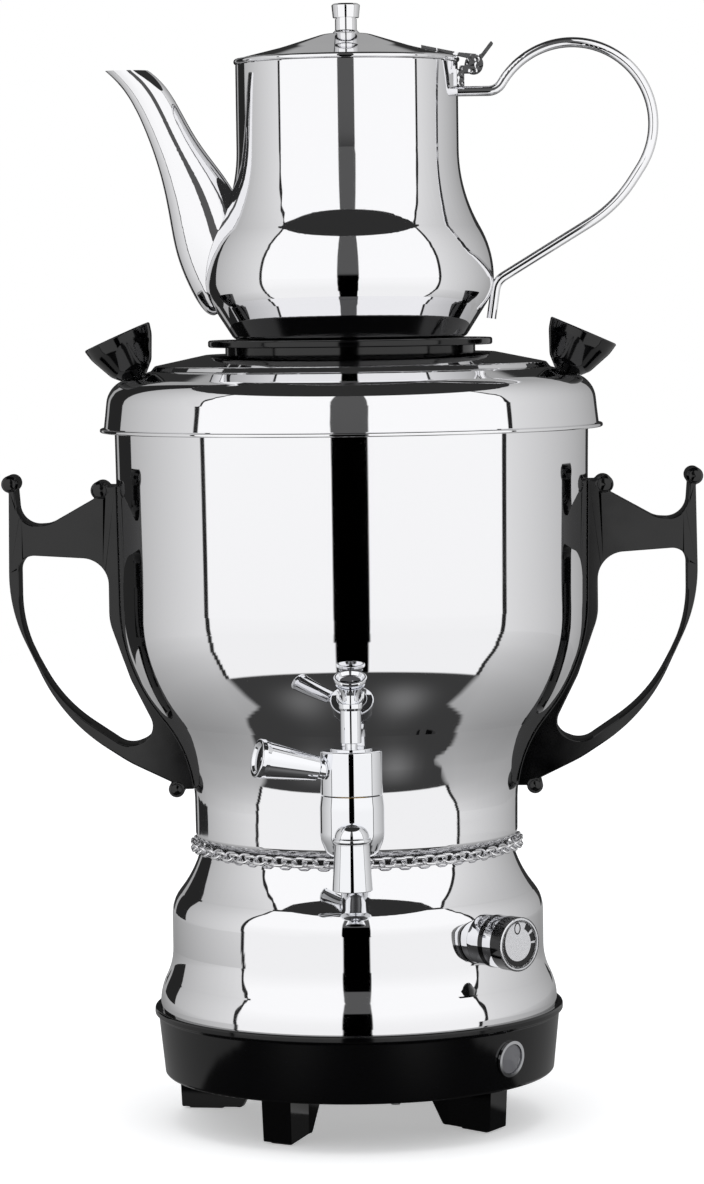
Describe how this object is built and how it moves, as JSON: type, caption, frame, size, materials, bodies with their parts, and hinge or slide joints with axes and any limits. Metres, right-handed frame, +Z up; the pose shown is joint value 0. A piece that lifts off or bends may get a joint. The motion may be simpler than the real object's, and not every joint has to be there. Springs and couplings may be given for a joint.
{
  "type": "electric samovar with teapot",
  "caption": "Electric samovar: waisted polished tank on a black footed base, side handles, tap with lever and key, domed lid and a teapot with hinged lid on top.",
  "frame": {"origin": "centre of the footprint's bounding box, on the surface it stands on", "axes": "+Z up; the tap faces -Y, the teapot's spout -X and its handle +X"},
  "size_m": [0.31, 0.2415, 0.4956],
  "materials": {
    "polished_steel": "mirror-polished stainless sheet",
    "chromed_brass": "bright chrome plate",
    "black_plastic": "glossy black moulding",
    "plain_steel": "plain stainless",
    "black_rubber": "moulded rubber",
    "raw_brass": "machined brass",
    "plain_aluminium": "cast plate",
    "dark_plastic": "heat-proof moulding",
    "smoked_lens": "smoked lens"
  },
  "bodies": {
    "root": {"base_pan": "black_plastic", "cover_screws": "plain_steel", "foot_pads": "black_rubber", "handle_screws": "plain_steel", "handle_washers": "black_rubber", "heat_plate": "plain_aluminium", "heating_element": "plain_steel", "inlet_pins": "raw_brass", "knob_bezel": "chromed_brass", "lamp_bezel": "chromed_brass", "lamp_holder": "dark_plastic", "lamp_lens": "smoked_lens", "leads": "dark_plastic", "left_handle": "black_plastic", "lower_shell": "polished_steel", "mains_inlet": "dark_plastic", "neck_chain": "polished_steel", "neck_packing": "black_rubber", "right_handle": "black_plastic", "service_cover": "plain_steel", "tank_floor": "plain_steel", "tank_shell": "polished_steel", "tap_body": "chromed_brass", "tap_gaskets": "black_rubber", "tap_nozzle": "chromed_brass", "tap_nut": "raw_brass", "tap_shank": "raw_brass", "terminal_block": "dark_plastic", "thermal_cutout": "dark_plastic", "thermostat": "dark_plastic", "thermostat_bracket": "plain_steel", "tie_nuts": "plain_steel", "tie_rods": "plain_steel"},
    "control_knob": {"knob_shaft": "plain_steel", "knob_core": "black_plastic", "knob_band": "chromed_brass", "knob_grip": "black_plastic", "knob_cap": "chromed_brass"},
    "tap_lever": {"tap_plug": "raw_brass", "tap_cap": "chromed_brass", "tap_lever": "chromed_brass"},
    "tap_key": {"key_stem": "chromed_brass", "key_crown": "chromed_brass", "key_cup": "chromed_brass"},
    "samovar_lid": {"samovar_lid": "polished_steel", "lid_seat_ring": "plain_steel", "lid_knob_right": "black_plastic", "lid_knob_left": "black_plastic", "lid_knob_screws": "plain_steel", "pot_stand": "black_plastic"},
    "teapot": {"pot_body": "polished_steel", "pot_spout": "polished_steel", "pot_handle": "polished_steel", "hinge_bracket": "polished_steel", "hinge_pin": "plain_steel"},
    "teapot_lid": {"pot_lid": "polished_steel", "lid_strap": "polished_steel", "finial": "polished_steel", "finial_stud": "plain_steel"}
  },
  "joints": [
    {"name": "lid_lift", "type": "slide", "parent": "root", "child": "samovar_lid", "axis": [0, 0, 1], "range_m": [0, 0.06]},
    {"name": "teapot_lift", "type": "slide", "parent": "samovar_lid", "child": "teapot", "axis": [0, 0, 1], "range_m": [0, 0.08]},
    {"name": "teapot_lid_hinge", "type": "hinge", "parent": "teapot", "child": "teapot_lid", "pos_m": [0.0561, 0.00998, 0.4681], "axis": [0, 1, 0], "range_deg": [0, 56]},
    {"name": "tap_lever_turn", "type": "hinge", "parent": "root", "child": "tap_lever", "pos_m": [0, -0.09902, 0.167], "axis": [0, 0, 1], "range_deg": [0, 71]},
    {"name": "tap_key_turn", "type": "hinge", "parent": "tap_lever", "child": "tap_key", "pos_m": [0, -0.09902, 0.19], "axis": [0, 0, 1], "range_deg": [0, 90]},
    {"name": "control_knob_turn", "type": "hinge", "parent": "root", "child": "control_knob", "pos_m": [0.06322, -0.05782, 0.089], "axis": [-0.682, 0.7314, 0], "range_deg": [0, 270]}
  ]
}
